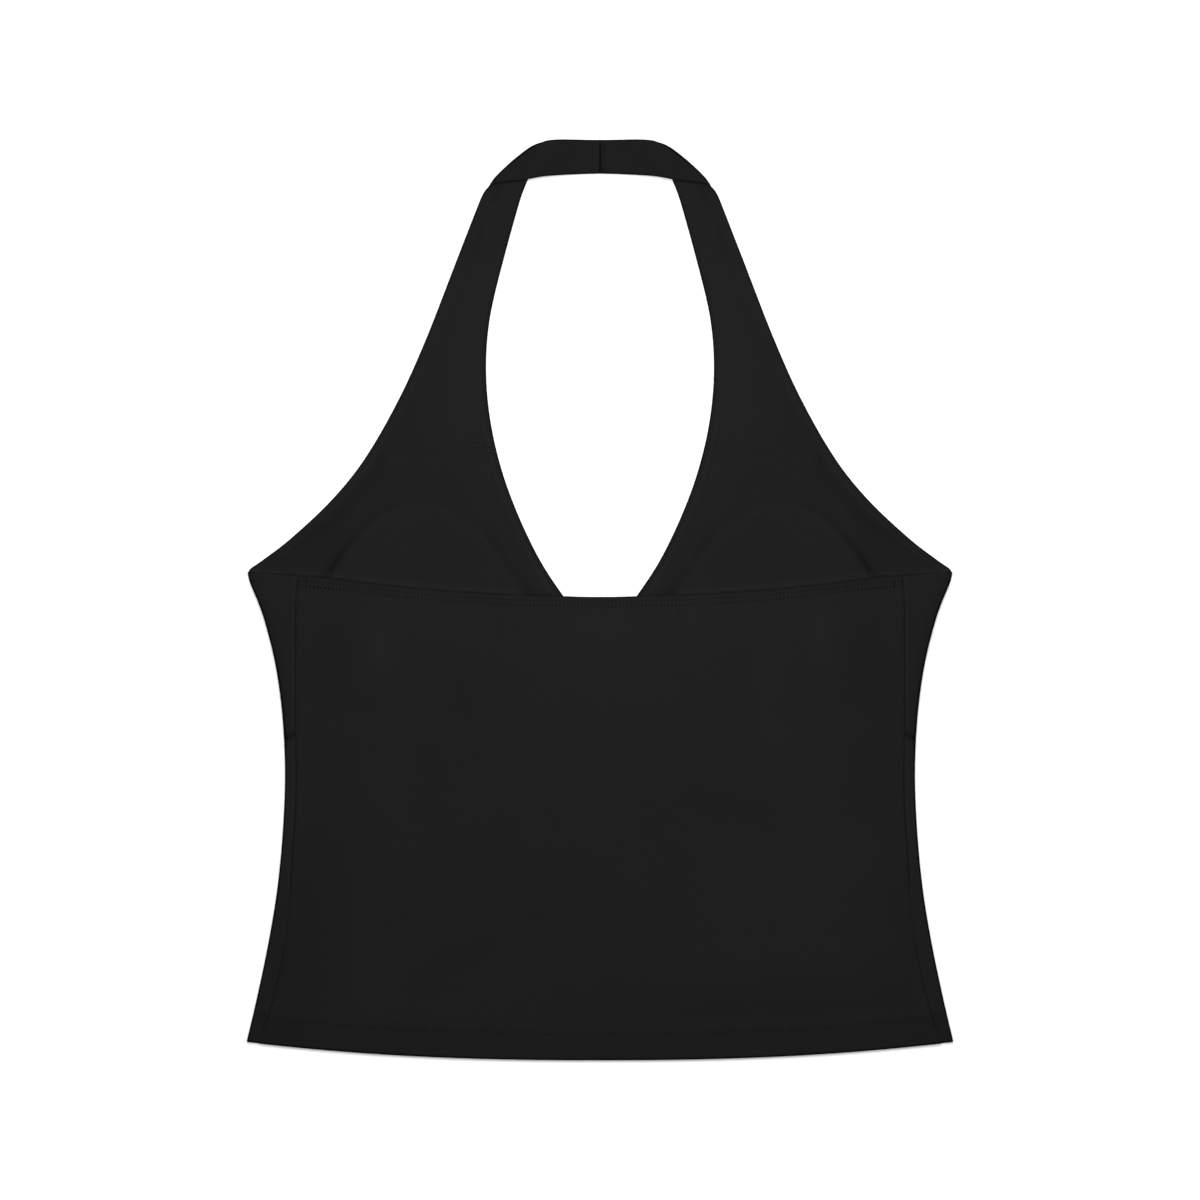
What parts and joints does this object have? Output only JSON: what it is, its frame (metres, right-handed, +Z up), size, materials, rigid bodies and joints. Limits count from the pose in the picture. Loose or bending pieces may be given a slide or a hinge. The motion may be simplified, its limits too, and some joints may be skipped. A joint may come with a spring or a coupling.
{
  "type": "halter neck top",
  "caption": "Halter neck top in black stretch jersey, laid flat with its back up: straps folded over to a nape seam, open V neck, lined and padded cups, straight back edge and curved hem.",
  "frame": {"origin": "centre of the top's outline seen from above, on the surface that it lies on; it falls in the neck opening's lower edge, over the back", "axes": "+X towards the garment's right side, +Y from the hem to the nape, +Z up, out of the back that faces up"},
  "size_m": [0.3886, 0.5061, 0.0086],
  "materials": {
    "jersey": "black cotton and elastane jersey, fine smooth knit, matt",
    "lining_jersey": "black cotton and elastane jersey, fine smooth knit, matt",
    "pad_foam": "black moulded foam faced with fine knit, matt"
  },
  "bodies": {
    "root": {"back": "jersey", "front_lower": "jersey", "front_upper_left": "jersey", "front_upper_right": "jersey", "strap_facing_left": "jersey", "strap_facing_right": "jersey", "cup_lining_left": "lining_jersey", "cup_lining_right": "lining_jersey", "cup_pad_left": "pad_foam", "cup_pad_right": "pad_foam"}
  },
  "joints": []
}
